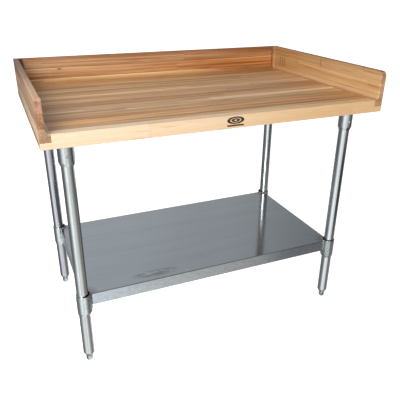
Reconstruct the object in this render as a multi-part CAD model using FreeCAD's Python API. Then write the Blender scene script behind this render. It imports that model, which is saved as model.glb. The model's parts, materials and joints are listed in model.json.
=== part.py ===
"""Butcher block work table: an edge-grain wooden top with coved risers on three sides, on round steel
legs in sockets, with a steel shelf that clamps to the legs and feet that screw in and out.

Frame: millimetres, origin on the floor under the middle of the top, +X to the right seen from the front,
+Y to the back, +Z up.
"""
import FreeCAD, Part
import math
import os

INCH = 25.4

# --- Top -----------------------------------------------------------------------------------------
TOP_LENGTH = 48 * INCH
TOP_DEPTH = 30 * INCH
TOP_THICKNESS = 1.75 * INCH
WORK_HEIGHT = 36 * INCH
STAVE_COUNT = 20
TOP_EDGE_RADIUS = 2.0

# --- Risers --------------------------------------------------------------------------------------
RISER_HEIGHT = 4 * INCH
RISER_THICKNESS = 0.75 * INCH
COVE_RADIUS = 9 / 16 * INCH
RABBET_DEPTH = 15 / 16 * INCH
RISER_STRIPS = ("lower", "middle", "upper")
RISER_EDGE_RADIUS = 3.0
RISER_FRONT_RADIUS = 0.75 * INCH

# --- Legs and their sockets ----------------------------------------------------------------------
LEG_RADIUS = 1.625 * INCH / 2
LEG_WALL = 1.5
LEG_INSET_SIDE = 80.0
LEG_INSET_FRONT = 92.4
LEG_INSET_BACK = 108.7
LEG_BOTTOM = 44.0
SOCKET_RADIUS = 26.5
SOCKET_LENGTH = 84.0
SOCKET_TAPER = 12.5
SOCKET_LIP_RADIUS = 22.6
SOCKET_BORE_RADIUS = LEG_RADIUS + 0.15
SET_SCREW_RADIUS = 3 / 16 * INCH
SET_SCREW_KEY = 3 / 16 * INCH
SET_SCREW_KEY_DEPTH = 4.0
SET_SCREW_CHAMFER = 0.6
SET_SCREW_CUP_RADIUS = 2.76
SET_SCREW_CUP_DEPTH = 1.5
SET_SCREW_PROUD = 2.4
SET_SCREW_HEIGHT = 34.0
HOLE_CLEARANCE = 0.05

# --- Cross rails and the screws that hold them ---------------------------------------------------
RAIL_WEB = 70.0
RAIL_DROP = 5 / 8 * INCH
RAIL_FLANGE = 22.0
RAIL_SHEET = 2.0
RAIL_FRONT_INSET = 56.0
RAIL_BACK_INSET = 66.0
RAIL_SCREW_STAVES = (3, 8, 13, 18)
WOOD_SCREW_RADIUS = 3.0
WOOD_SCREW_LENGTH = 0.75 * INCH
WOOD_SCREW_POINT = 4.0
WOOD_SCREW_POINT_RADIUS = 0.6
WOOD_SCREW_HEAD_RADIUS = 6.0
WOOD_SCREW_HEAD = 3.4
WOOD_SCREW_HEAD_ROUND = 1.6
DRIVE_LENGTH = 7.2
DRIVE_WIDTH = 1.2
DRIVE_DEPTH = 1.6
SLOT_RADIUS = 3.5
SLOT_LENGTH = 15.0

# --- Shelf ---------------------------------------------------------------------------------------
SHELF_TOP = 293.8
SHELF_FLANGE = 46.7
SHELF_SHEET = 1.2
SHELF_RETURN = 12.0
SHELF_BEND_RADIUS = 3.0
SHELF_SIDE_SETBACK = 3.2
SHELF_FRONT_REACH = 4.4
SHELF_BACK_REACH = 3.5
SLEEVE_RIM = 297.8
SLEEVE_WALL = 2.7
SLEEVE_OFFSET = 2.6
SLEEVE_LIP_CLEARANCE = 0.45
SLEEVE_SCREW_HEIGHT = 236.0
SLEEVE_SCREW_GAP = 0.35
STIFFENER_LENGTH = 860.0
STIFFENER_WEB = 60.0
STIFFENER_DROP = 22.0
STIFFENER_FLANGE = 18.0

# --- Feet ----------------------------------------------------------------------------------------
FOOT_TOP = 24.0
FOOT_TRAVEL = 1 * INCH
FOOT_HEX = 7 / 8 * INCH
FOOT_NECK_RADIUS = 10.9
FOOT_HEX_TOP = 20.5
FOOT_DOME_RADIUS = 13.4
FOOT_FLAT_RADIUS = 4.0
FOOT_CHAMFER_ANGLE = 30.0
INSERT_LIP = 3.0
INSERT_LIP_ROUND = 1.5
INSERT_END_RADIUS = 12.6
INSERT_PLUG = 30.0
STUD_RADIUS = 5 / 16 * INCH
STUD_CLEARANCE = 0.08
STUD_SEAT = 12.0
STUD_END_ROUND = 1.2
STUD_TOP = LEG_BOTTOM + INSERT_PLUG

# --- Worked out from the above -------------------------------------------------------------------
HALF_LENGTH = TOP_LENGTH / 2
HALF_DEPTH = TOP_DEPTH / 2
STAVE_WIDTH = TOP_DEPTH / STAVE_COUNT
UNDERSIDE = WORK_HEIGHT - TOP_THICKNESS
RISER_TOP = WORK_HEIGHT + RISER_HEIGHT
RISER_FOOT = RISER_THICKNESS + COVE_RADIUS
RABBET_FLOOR = WORK_HEIGHT - RABBET_DEPTH
STRIP_HEIGHT = (RISER_TOP - RABBET_FLOOR) / len(RISER_STRIPS)
LEG_X = HALF_LENGTH - LEG_INSET_SIDE
LEG_Y_FRONT = -HALF_DEPTH + LEG_INSET_FRONT
LEG_Y_BACK = HALF_DEPTH - LEG_INSET_BACK
SOCKET_BOTTOM = UNDERSIDE - SOCKET_LENGTH
SLEEVE_BORE_RADIUS = SOCKET_RADIUS - SLEEVE_WALL
SLEEVE_BOTTOM = SLEEVE_RIM - SOCKET_LENGTH
CORNERS = {
    "front_left": (-LEG_X, LEG_Y_FRONT),
    "front_right": (LEG_X, LEG_Y_FRONT),
    "back_left": (-LEG_X, LEG_Y_BACK),
    "back_right": (LEG_X, LEG_Y_BACK),
}
UP = FreeCAD.Vector(0, 0, 1)
NEAR = 0.1  # how close an edge has to be to a plane to count as lying in it


def point(x, y, z):
    return FreeCAD.Vector(x, y, z)


def box(low, high):
    size = [b - a for a, b in zip(low, high)]
    return Part.makeBox(*size, point(*low))


def cylinder(radius, x, y, low, high):
    return Part.makeCylinder(radius, high - low, point(x, y, low), UP)


def outward(x):
    """-1 on the left of the table and +1 on the right."""
    return math.copysign(1, x)


def round_edges(shape, radius, chosen):
    """Round the edges for which chosen(edge's bounding box) is true."""
    edges = [edge for edge in shape.Edges if chosen(edge.BoundBox)]
    return shape.makeFillet(radius, edges)


def prism(corners, length, direction):
    """Extrude a closed outline of straight lines."""
    outline = Part.makePolygon(corners + corners[:1])
    return Part.Face(outline).extrude(direction * length)


# --- Top -----------------------------------------------------------------------------------------
def stave_y(number):
    """Front face of a stave, counted from 1 at the front."""
    return -HALF_DEPTH + (number - 1) * STAVE_WIDTH


def rail_screw_places():
    """Where the rails' screws enter the underside: x, y of each."""
    reach = RAIL_WEB / 2 + RAIL_FLANGE / 2
    return [
        (side * LEG_X + step * reach, stave_y(number) + STAVE_WIDTH / 2)
        for side in (-1, 1)
        for step in (-1, 1)
        for number in RAIL_SCREW_STAVES
    ]


def stave(number):
    """One strip of the top, rebated for the risers and drilled for the rails' screws."""
    front = stave_y(number)
    back = front + STAVE_WIDTH
    shape = box((-HALF_LENGTH, front, UNDERSIDE), (HALF_LENGTH, back, WORK_HEIGHT))
    seat = HALF_LENGTH - RISER_FOOT
    for side in (-1, 1):
        near, far = sorted((side * seat, side * (HALF_LENGTH + 1)))
        shape = shape.cut(box((near, front - 1, RABBET_FLOOR), (far, back + 1, WORK_HEIGHT + 1)))
    back_seat = HALF_DEPTH - RISER_FOOT
    if back > back_seat:
        shape = shape.cut(
            box((-HALF_LENGTH, back_seat, RABBET_FLOOR), (HALF_LENGTH, back + 1, WORK_HEIGHT + 1))
        )
    if number == 1:
        shape = round_edges(
            shape,
            TOP_EDGE_RADIUS,
            lambda b: b.XLength > TOP_LENGTH / 2
            and b.YMax < front + NEAR
            and (b.ZMax < UNDERSIDE + NEAR or b.ZMin > WORK_HEIGHT - NEAR),
        )
    if number in RAIL_SCREW_STAVES:
        for x, y in rail_screw_places():
            if front < y < back:
                radius = WOOD_SCREW_RADIUS + HOLE_CLEARANCE
                shape = shape.cut(cylinder(radius, x, y, UNDERSIDE - 1, UNDERSIDE + WOOD_SCREW_LENGTH))
    return shape


# --- Risers --------------------------------------------------------------------------------------
def riser_section():
    """The riser's outline as (distance in from its outer face, height) edges in the XZ plane."""
    wall, foot, edge = RISER_THICKNESS, RISER_FOOT, RISER_EDGE_RADIUS
    bend = math.sqrt(0.5)
    cove_centre = (foot, WORK_HEIGHT + COVE_RADIUS)
    at = lambda u, z: point(u, 0, z)
    cove = Part.Arc(
        at(foot, WORK_HEIGHT),
        at(cove_centre[0] - bend * COVE_RADIUS, cove_centre[1] - bend * COVE_RADIUS),
        at(wall, cove_centre[1]),
    )
    inner_round = Part.Arc(
        at(wall, RISER_TOP - edge),
        at(wall - edge + bend * edge, RISER_TOP - edge + bend * edge),
        at(wall - edge, RISER_TOP),
    )
    outer_round = Part.Arc(
        at(edge, RISER_TOP),
        at(edge - bend * edge, RISER_TOP - edge + bend * edge),
        at(0, RISER_TOP - edge),
    )
    line = lambda a, b: Part.LineSegment(a, b).toShape()
    edges = [
        line(at(0, RABBET_FLOOR), at(foot, RABBET_FLOOR)),
        line(at(foot, RABBET_FLOOR), at(foot, WORK_HEIGHT)),
        cove.toShape(),
        line(at(wall, cove_centre[1]), at(wall, RISER_TOP - edge)),
        inner_round.toShape(),
        line(at(wall - edge, RISER_TOP), at(edge, RISER_TOP)),
        outer_round.toShape(),
        line(at(0, RISER_TOP - edge), at(0, RABBET_FLOOR)),
    ]
    return Part.Face(Part.Wire(edges))


def back_riser():
    """The full-length riser along the back edge."""
    bar = riser_section().extrude(point(0, TOP_LENGTH, 0))
    bar.rotate(point(0, 0, 0), UP, -90)
    bar.translate(point(-HALF_LENGTH, HALF_DEPTH, 0))
    return bar


def corner_cove(side):
    """Upright cove that fills the inner corner between a side riser and the back riser."""
    reach_x = side * (HALF_LENGTH - RISER_THICKNESS)
    reach_y = HALF_DEPTH - RISER_THICKNESS
    low, high = sorted((reach_x, reach_x - side * COVE_RADIUS))
    block = box((low, reach_y - COVE_RADIUS, WORK_HEIGHT), (high, reach_y, RISER_TOP))
    hollow = cylinder(
        COVE_RADIUS, reach_x - side * COVE_RADIUS, reach_y - COVE_RADIUS, WORK_HEIGHT - 1, RISER_TOP + 1
    )
    return block.cut(hollow)


def side_riser(side, back):
    """The riser along one end, from the front edge to the back riser, with its front corner rounded."""
    bar = riser_section().extrude(point(0, TOP_DEPTH - RISER_THICKNESS, 0))
    if side > 0:
        bar = bar.mirror(point(0, 0, 0), point(1, 0, 0))
    bar.translate(point(side * HALF_LENGTH, -HALF_DEPTH, 0))
    bar = bar.fuse(corner_cove(side)).removeSplitter()
    radius = RISER_FRONT_RADIUS
    span = sorted((side * (HALF_LENGTH + 1), side * (HALF_LENGTH - RISER_FOOT - 1)))
    notch = box(
        (span[0], -HALF_DEPTH - 1, RISER_TOP - radius), (span[1], -HALF_DEPTH + radius, RISER_TOP + 1)
    )
    corner = Part.makeCylinder(
        radius,
        span[1] - span[0] + 2,
        point(span[0] - 1, -HALF_DEPTH + radius, RISER_TOP - radius),
        point(1, 0, 0),
    )
    return bar.cut(notch.cut(corner)).cut(back)


def strips(bar):
    """Split a riser into its glued strips, from the bottom up."""
    reach = HALF_LENGTH + 10
    pieces = {}
    for index, strip in enumerate(RISER_STRIPS):
        low = RABBET_FLOOR + index * STRIP_HEIGHT
        slab = box((-reach, -reach, low), (reach, reach, low + STRIP_HEIGHT))
        pieces[strip] = bar.common(slab)
    return pieces


# --- Cross rails, sockets and legs ---------------------------------------------------------------
def hat_section(web, drop, flange, sheet, top):
    """Outline of a hat-section channel hanging from height top, in the XZ plane."""
    half = web / 2
    right = [
        (half + flange, top),
        (half + flange, top - sheet),
        (half, top - sheet),
        (half, top - drop),
    ]
    inner = [
        (half - sheet, top - drop + sheet),
        (half - sheet, top),
    ]
    outline = right + [(-x, z) for x, z in reversed(right)] + [(-x, z) for x, z in reversed(inner)] + inner
    return [point(x, 0, z) for x, z in outline]


def cross_rail(side):
    """The channel under one pair of legs, slotted for its screws and opened for its sockets."""
    front = -HALF_DEPTH + RAIL_FRONT_INSET
    length = TOP_DEPTH - RAIL_FRONT_INSET - RAIL_BACK_INSET
    outline = hat_section(RAIL_WEB, RAIL_DROP, RAIL_FLANGE, RAIL_SHEET, UNDERSIDE)
    rail = prism(outline, length, point(0, 1, 0))
    rail.translate(point(side * LEG_X, front, 0))
    for y in (LEG_Y_FRONT, LEG_Y_BACK):
        rail = rail.cut(
            cylinder(SOCKET_RADIUS, side * LEG_X, y, UNDERSIDE - RAIL_DROP - 1, UNDERSIDE + 1)
        )
    straight = SLOT_LENGTH / 2 - SLOT_RADIUS
    for x, y in rail_screw_places():
        if x * side > 0:
            for end in (-straight, straight):
                rail = rail.cut(cylinder(SLOT_RADIUS, x, y + end, UNDERSIDE - 5, UNDERSIDE + 1))
            low = (x - SLOT_RADIUS, y - straight, UNDERSIDE - 5)
            high = (x + SLOT_RADIUS, y + straight, UNDERSIDE + 1)
            rail = rail.cut(box(low, high))
    return rail


def wood_screw(x, y):
    """A pan-head screw, up through a rail's slot into the wood."""
    seat = UNDERSIDE - RAIL_SHEET
    bottom = seat - WOOD_SCREW_HEAD
    shoulder = UNDERSIDE + WOOD_SCREW_LENGTH - WOOD_SCREW_POINT
    shank = cylinder(WOOD_SCREW_RADIUS, x, y, seat - 1, shoulder)
    tip = Part.makeCone(
        WOOD_SCREW_RADIUS, WOOD_SCREW_POINT_RADIUS, WOOD_SCREW_POINT - 0.5, point(x, y, shoulder), UP
    )
    head = cylinder(WOOD_SCREW_HEAD_RADIUS, x, y, bottom, seat)
    head = round_edges(head, WOOD_SCREW_HEAD_ROUND, lambda b: b.ZMax < bottom + NEAR)
    screw = head.fuse([shank, tip])
    for length, width in ((DRIVE_LENGTH, DRIVE_WIDTH), (DRIVE_WIDTH, DRIVE_LENGTH)):
        low = (x - length / 2, y - width / 2, bottom - 1)
        high = (x + length / 2, y + width / 2, bottom + DRIVE_DEPTH)
        screw = screw.cut(box(low, high))
    return screw.removeSplitter()


def hexagon(x, y, z, across_flats, height, direction=UP):
    """A hexagonal prism starting at a point and rising along a direction."""
    radius = across_flats / math.sqrt(3)
    corners = [
        point(radius * math.cos(math.radians(60 * k)), radius * math.sin(math.radians(60 * k)), 0)
        for k in range(6)
    ]
    bar = prism(corners, height, UP)
    bar.Placement = FreeCAD.Placement(point(x, y, z), FreeCAD.Rotation(UP, direction))
    return bar


def set_screw(tip, direction, length):
    """A cup-point set screw from its tip outwards, with a hexagonal key socket in its outer end."""
    body = Part.makeCylinder(SET_SCREW_RADIUS, length, tip, direction)
    body = body.makeChamfer(
        SET_SCREW_CHAMFER, [edge for edge in body.Edges if edge.Curve.TypeId == "Part::GeomCircle"]
    )
    key = tip + direction * (length - SET_SCREW_KEY_DEPTH)
    cup_bottom = tip + direction * SET_SCREW_CUP_DEPTH
    cup = Part.makeCone(1.0, SET_SCREW_CUP_RADIUS, SET_SCREW_CUP_DEPTH, cup_bottom, direction * -1)
    socket = hexagon(key.x, key.y, key.z, SET_SCREW_KEY, SET_SCREW_KEY_DEPTH + 1, direction)
    return body.cut(socket).cut(cup)


def socket_screw_direction(y):
    """An upper socket's screw faces the front on the front legs, and the back on the back legs."""
    return point(0, math.copysign(1, y), 0)


def upper_socket(x, y):
    """A thick-walled socket with a tapered lower end and a threaded hole for its set screw."""
    straight = cylinder(SOCKET_RADIUS, x, y, SOCKET_BOTTOM + SOCKET_TAPER, UNDERSIDE)
    taper = Part.makeCone(SOCKET_LIP_RADIUS, SOCKET_RADIUS, SOCKET_TAPER, point(x, y, SOCKET_BOTTOM), UP)
    shape = straight.fuse(taper).removeSplitter()
    shape = shape.cut(cylinder(SOCKET_BORE_RADIUS, x, y, SOCKET_BOTTOM - 1, UNDERSIDE + 1))
    hole = Part.makeCylinder(
        SET_SCREW_RADIUS + HOLE_CLEARANCE,
        SOCKET_RADIUS + 1,
        point(x, y, SOCKET_BOTTOM + SET_SCREW_HEIGHT),
        socket_screw_direction(y),
    )
    return shape.cut(hole)


def upper_set_screw(x, y):
    """The screw that holds a leg in its upper socket, tight against the leg."""
    direction = socket_screw_direction(y)
    start = LEG_RADIUS + HOLE_CLEARANCE
    tip = point(x, y, SOCKET_BOTTOM + SET_SCREW_HEIGHT) + direction * start
    return set_screw(tip, direction, SOCKET_RADIUS + SET_SCREW_PROUD - start)


def leg(x, y):
    """A plain tube from the foot's insert up to the underside of the top."""
    tube = cylinder(LEG_RADIUS, x, y, LEG_BOTTOM, UNDERSIDE)
    return tube.cut(cylinder(LEG_RADIUS - LEG_WALL, x, y, LEG_BOTTOM - 1, UNDERSIDE + 1))


# --- Feet ----------------------------------------------------------------------------------------
def leg_insert(x, y):
    """The plug in a leg's lower end: a lip as wide as the leg, a taper, and a bore for the stud."""
    plug = cylinder(LEG_RADIUS - LEG_WALL - HOLE_CLEARANCE, x, y, LEG_BOTTOM - INSERT_LIP, STUD_TOP)
    lip = cylinder(LEG_RADIUS, x, y, LEG_BOTTOM - INSERT_LIP, LEG_BOTTOM)
    taper_height = LEG_BOTTOM - INSERT_LIP - FOOT_TOP
    taper = Part.makeCone(INSERT_END_RADIUS, LEG_RADIUS, taper_height, point(x, y, FOOT_TOP), UP)
    shape = plug.fuse([lip, taper]).removeSplitter()
    shape = round_edges(
        shape,
        INSERT_LIP_ROUND,
        lambda b: b.ZLength < NEAR
        and abs(b.ZMin - LEG_BOTTOM + INSERT_LIP) < NEAR
        and b.XLength > 2 * LEG_RADIUS - 1,
    )
    return shape.cut(cylinder(STUD_RADIUS + STUD_CLEARANCE, x, y, FOOT_TOP - 1, STUD_TOP + 1))


def foot_stud(x, y):
    """The foot's stud, from its seat inside the tip to the top of the insert."""
    rod = cylinder(STUD_RADIUS, x, y, FOOT_TOP - STUD_SEAT, STUD_TOP)
    return round_edges(rod, STUD_END_ROUND, lambda b: b.ZMin > STUD_TOP - NEAR)


def foot_tip(x, y):
    """The foot that meets the floor: a round neck, a hexagon for a wrench, and a dome with a small flat."""
    neck = cylinder(FOOT_NECK_RADIUS, x, y, FOOT_HEX_TOP - 1, FOOT_TOP)
    wrench = hexagon(x, y, 0, FOOT_HEX, FOOT_HEX_TOP)
    corner = FOOT_HEX / math.sqrt(3)
    rise = (corner - FOOT_NECK_RADIUS) * math.tan(math.radians(FOOT_CHAMFER_ANGLE))
    crown = Part.makeCone(corner, FOOT_NECK_RADIUS, rise, point(x, y, FOOT_HEX_TOP - rise), UP)
    dome_centre = math.sqrt(FOOT_DOME_RADIUS**2 - FOOT_FLAT_RADIUS**2)
    dome = Part.makeSphere(FOOT_DOME_RADIUS, point(x, y, dome_centre))
    barrel = cylinder(corner + NEAR, x, y, dome_centre, FOOT_HEX_TOP - rise)
    limit = dome.fuse([barrel, crown]).removeSplitter()
    shape = wrench.common(limit).fuse(neck).removeSplitter()
    return shape.cut(cylinder(STUD_RADIUS + STUD_CLEARANCE, x, y, FOOT_TOP - STUD_SEAT, FOOT_TOP + 1))


# --- Shelf ---------------------------------------------------------------------------------------
def sleeve_axis(x):
    """The sleeves sit a little inboard of the legs, which lie against their outer walls."""
    return x - outward(x) * SLEEVE_OFFSET


def shelf_pan():
    """A sheet with its four edges bent down and returned inwards, notched for the sleeves."""
    half = LEG_X - SHELF_SIDE_SETBACK
    front = LEG_Y_FRONT - SHELF_FRONT_REACH
    back = LEG_Y_BACK + SHELF_BACK_REACH
    bottom = SHELF_TOP - SHELF_FLANGE
    sheet = SHELF_SHEET
    top_edges = lambda height: lambda b: b.ZMin > height - NEAR
    outer = round_edges(
        box((-half, front, bottom), (half, back, SHELF_TOP)), SHELF_BEND_RADIUS, top_edges(SHELF_TOP)
    )
    inner = round_edges(
        box(
            (-half + sheet, front + sheet, bottom - 10),
            (half - sheet, back - sheet, SHELF_TOP - sheet),
        ),
        SHELF_BEND_RADIUS - sheet,
        top_edges(SHELF_TOP - sheet),
    )
    rim = box((-half, front, bottom), (half, back, bottom + sheet)).cut(
        box(
            (-half + SHELF_RETURN, front + SHELF_RETURN, bottom - 1),
            (half - SHELF_RETURN, back - SHELF_RETURN, bottom + sheet + 1),
        )
    )
    pan = outer.cut(inner).fuse(rim).removeSplitter()
    for x, y in CORNERS.values():
        pan = pan.cut(cylinder(SOCKET_RADIUS, sleeve_axis(x), y, bottom - 5, SHELF_TOP + 5))
    return pan


def shelf_sleeve(x, y):
    """A sleeve like the upper sockets, loose round its leg and closing in on it at the bottom."""
    centre = sleeve_axis(x)
    shoulder = SLEEVE_BOTTOM + SOCKET_TAPER
    lip_bore = LEG_RADIUS + SLEEVE_LIP_CLEARANCE
    ring = lambda radius, cx, z: Part.Wire([Part.makeCircle(radius, point(cx, y, z), UP)])
    straight = cylinder(SOCKET_RADIUS, centre, y, shoulder, SLEEVE_RIM)
    taper = Part.makeLoft(
        [ring(SOCKET_LIP_RADIUS, x, SLEEVE_BOTTOM), ring(SOCKET_RADIUS, centre, shoulder)], True, True
    )
    shape = straight.fuse(taper)
    shape = shape.cut(cylinder(SLEEVE_BORE_RADIUS, centre, y, shoulder, SLEEVE_RIM + 1))
    shape = shape.cut(cylinder(lip_bore, x, y, SLEEVE_BOTTOM - 1, shoulder + 1))
    hole = Part.makeCylinder(
        SET_SCREW_RADIUS + HOLE_CLEARANCE,
        SOCKET_RADIUS + 1,
        point(centre, y, SLEEVE_SCREW_HEIGHT),
        point(-outward(x), 0, 0),
    )
    return shape.cut(hole)


def sleeve_set_screw(x, y):
    """The screw that clamps a sleeve to its leg from the inboard side, backed off to let it slide."""
    direction = point(-outward(x), 0, 0)
    tip = point(x, y, SLEEVE_SCREW_HEIGHT) + direction * (LEG_RADIUS + SLEEVE_SCREW_GAP)
    length = SLEEVE_OFFSET + SOCKET_RADIUS + SET_SCREW_PROUD - LEG_RADIUS - SLEEVE_SCREW_GAP
    return set_screw(tip, direction, length)


def shelf_stiffener():
    """A hat-section channel welded along the middle of the shelf's underside."""
    outline = hat_section(
        STIFFENER_WEB, STIFFENER_DROP, STIFFENER_FLANGE, SHELF_SHEET, SHELF_TOP - SHELF_SHEET
    )
    bar = prism(outline, STIFFENER_LENGTH, point(0, 1, 0))
    bar.rotate(point(0, 0, 0), UP, -90)
    bar.translate(point(-STIFFENER_LENGTH / 2, (LEG_Y_FRONT + LEG_Y_BACK) / 2, 0))
    return bar


# --- The whole table -----------------------------------------------------------------------------
def build():
    nodes = {}
    for number in range(1, STAVE_COUNT + 1):
        nodes[f"stave_{number:02d}"] = stave(number)
    back = back_riser()
    risers = {"back": back, "left": side_riser(-1, back), "right": side_riser(1, back)}
    for place, bar in risers.items():
        for strip, piece in strips(bar).items():
            nodes[f"riser_{place}_{strip}"] = piece
    nodes["cross_rail_left"] = cross_rail(-1)
    nodes["cross_rail_right"] = cross_rail(1)
    nodes["rail_wood_screws"] = Part.makeCompound([wood_screw(x, y) for x, y in rail_screw_places()])
    nodes["shelf_pan"] = shelf_pan()
    nodes["shelf_stiffener"] = shelf_stiffener()
    for corner, (x, y) in CORNERS.items():
        nodes[f"leg_{corner}"] = leg(x, y)
        nodes[f"upper_socket_{corner}"] = upper_socket(x, y)
        nodes[f"shelf_sleeve_{corner}"] = shelf_sleeve(x, y)
        nodes[f"leg_insert_{corner}"] = leg_insert(x, y)
        nodes[f"foot_stud_{corner}"] = foot_stud(x, y)
        nodes[f"foot_tip_{corner}"] = foot_tip(x, y)
    nodes["socket_set_screws"] = Part.makeCompound([upper_set_screw(x, y) for x, y in CORNERS.values()])
    nodes["sleeve_set_screws"] = Part.makeCompound([sleeve_set_screw(x, y) for x, y in CORNERS.values()])
    return nodes


os.makedirs("parts", exist_ok=True)
for name, shape in build().items():
    if not shape.isValid():
        raise ValueError(f"{name} is not a valid shape")
    shape.exportStep(f"parts/{name}.step")
    print(f"{name:28s} solids {len(shape.Solids):2d}  volume {shape.Volume / 1000:9.1f} cm3")
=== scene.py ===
"""Looks of the butcher block table: wood, steel, weld beads, foot threads, studio and camera.

Everything is in metres in the frame's own axes: +X right, +Y to the back riser, +Z up, floor at z = 0.
"""
import json
import math

import bmesh
import bpy
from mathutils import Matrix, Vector


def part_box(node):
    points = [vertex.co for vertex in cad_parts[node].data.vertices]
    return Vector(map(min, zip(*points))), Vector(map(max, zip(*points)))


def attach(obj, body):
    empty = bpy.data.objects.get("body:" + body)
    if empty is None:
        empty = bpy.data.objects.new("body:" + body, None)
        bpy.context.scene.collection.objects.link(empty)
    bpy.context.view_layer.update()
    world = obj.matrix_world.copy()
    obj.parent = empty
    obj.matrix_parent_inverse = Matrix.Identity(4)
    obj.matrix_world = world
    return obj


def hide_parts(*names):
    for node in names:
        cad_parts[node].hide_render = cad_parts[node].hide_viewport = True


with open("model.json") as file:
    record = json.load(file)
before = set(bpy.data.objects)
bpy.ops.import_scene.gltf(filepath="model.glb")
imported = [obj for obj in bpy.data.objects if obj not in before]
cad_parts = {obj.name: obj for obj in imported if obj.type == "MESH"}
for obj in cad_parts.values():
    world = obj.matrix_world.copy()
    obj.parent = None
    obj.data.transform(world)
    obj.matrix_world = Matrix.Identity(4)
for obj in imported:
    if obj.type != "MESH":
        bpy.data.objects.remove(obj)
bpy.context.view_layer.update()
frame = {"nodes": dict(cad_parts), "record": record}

NODES = frame["nodes"]
CORNERS = ("front_left", "front_right", "back_left", "back_right")


# --- Where things are ----------------------------------------------------------------------------
def centre(node):
    low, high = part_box(node)
    return (low + high) / 2


def size(node):
    low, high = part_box(node)
    return high - low


TOP_LOW, TOP_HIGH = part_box("stave_01")[0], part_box("riser_back_upper")[1]
WORK_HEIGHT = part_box("stave_02")[1].z
STAVE_WIDTH = size("stave_02").y
SHELF_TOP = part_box("shelf_pan")[1].z
STRIP_HEIGHT = size("riser_back_middle").z


# --- Building materials --------------------------------------------------------------------------
def colour(red, green, blue):
    """Linear RGBA of a colour given as it looks on a screen, each part from 0 to 255."""
    parts = [c / 255 for c in (red, green, blue)]
    return tuple(c / 12.92 if c < 0.04 else ((c + 0.055) / 1.055) ** 2.4 for c in parts) + (1.0,)


class Shader:
    """A material and short calls for the nodes that feed its Principled surface."""

    def __init__(self, name):
        self.material = bpy.data.materials.new(name)
        self.material.use_nodes = True
        self.tree = self.material.node_tree
        self.surface = self.tree.nodes["Principled BSDF"]
        self.place = self.node("ShaderNodeTexCoord").outputs["Object"]

    def node(self, kind, **settings):
        made = self.tree.nodes.new(kind)
        for key, value in settings.items():
            setattr(made, key, value)
        return made

    def feed(self, socket, value):
        """Link an output to a socket, or set the socket to a constant."""
        if isinstance(value, bpy.types.NodeSocket):
            self.tree.links.new(value, socket)
        else:
            socket.default_value = value

    def set(self, **inputs):
        """Set the Principled surface's inputs, with _ for a space in the input's name."""
        for key, value in inputs.items():
            self.feed(self.surface.inputs[key.replace("_", " ")], value)

    def math(self, operation, *values, clamp=False):
        made = self.node("ShaderNodeMath", operation=operation, use_clamp=clamp)
        for socket, value in zip(made.inputs, values):
            self.feed(socket, value)
        return made.outputs[0]

    def axes(self, vector):
        made = self.node("ShaderNodeSeparateXYZ")
        self.feed(made.inputs[0], vector)
        return made.outputs

    def vector(self, x, y, z):
        made = self.node("ShaderNodeCombineXYZ")
        for socket, value in zip(made.inputs, (x, y, z)):
            self.feed(socket, value)
        return made.outputs[0]

    def move(self, vector, offset):
        made = self.node("ShaderNodeVectorMath", operation="ADD")
        self.feed(made.inputs[0], vector)
        self.feed(made.inputs[1], offset)
        return made.outputs[0]

    def scale(self, vector, factors):
        made = self.node("ShaderNodeVectorMath", operation="MULTIPLY")
        self.feed(made.inputs[0], vector)
        self.feed(made.inputs[1], factors)
        return made.outputs[0]

    def distance(self, vector, point):
        made = self.node("ShaderNodeVectorMath", operation="DISTANCE")
        self.feed(made.inputs[0], vector)
        self.feed(made.inputs[1], point)
        return made.outputs["Value"]

    def noise(self, vector, detail=2.0, roughness=0.5, distortion=0.0):
        made = self.node("ShaderNodeTexNoise")
        self.feed(made.inputs["Vector"], vector)
        made.inputs["Scale"].default_value = 1.0
        made.inputs["Detail"].default_value = detail
        made.inputs["Roughness"].default_value = roughness
        made.inputs["Distortion"].default_value = distortion
        return made.outputs[0]

    def random(self, value):
        """A random number and a random colour for each value."""
        made = self.node("ShaderNodeTexWhiteNoise", noise_dimensions="1D")
        self.feed(made.inputs["W"], value)
        return made.outputs["Value"], made.outputs["Color"]

    def between(self, value, low, high, start=0.0, end=1.0):
        """A smooth step from start to end as value goes from low to high."""
        made = self.node("ShaderNodeMapRange", interpolation_type="SMOOTHSTEP")
        for socket, number in zip(made.inputs, (value, low, high, start, end)):
            self.feed(socket, number)
        return made.outputs[0]

    def mix(self, share, first, second, blend="MIX"):
        made = self.node("ShaderNodeMix", data_type="RGBA", blend_type=blend)
        self.feed(made.inputs[0], share)
        self.feed(made.inputs[6], first)
        self.feed(made.inputs[7], second)
        return made.outputs[2]

    def bump(self, height, distance, strength=1.0):
        made = self.node("ShaderNodeBump")
        made.inputs["Strength"].default_value = strength
        made.inputs["Distance"].default_value = distance
        self.feed(made.inputs["Height"], height)
        self.feed(self.surface.inputs["Normal"], made.outputs[0])


# --- Wood ----------------------------------------------------------------------------------------
SEAM = 0.0015
FINGER_LENGTH = 0.013
FINGER_PITCH = 0.0072
# How fine each part of the figure is, along the grain and across it, in cycles a metre.
FIGURE_SCALE = (0.9, 36.0, 36.0)
LINES_SCALE = (1.8, 170.0, 170.0)
FIBRE_SCALE = (26.0, 1500.0, 1500.0)
FLECK_SCALE = (5.0, 120.0, 120.0)
PORE_SCALE = (900.0, 900.0, 900.0)
RING_RATE = 1900.0
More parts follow.
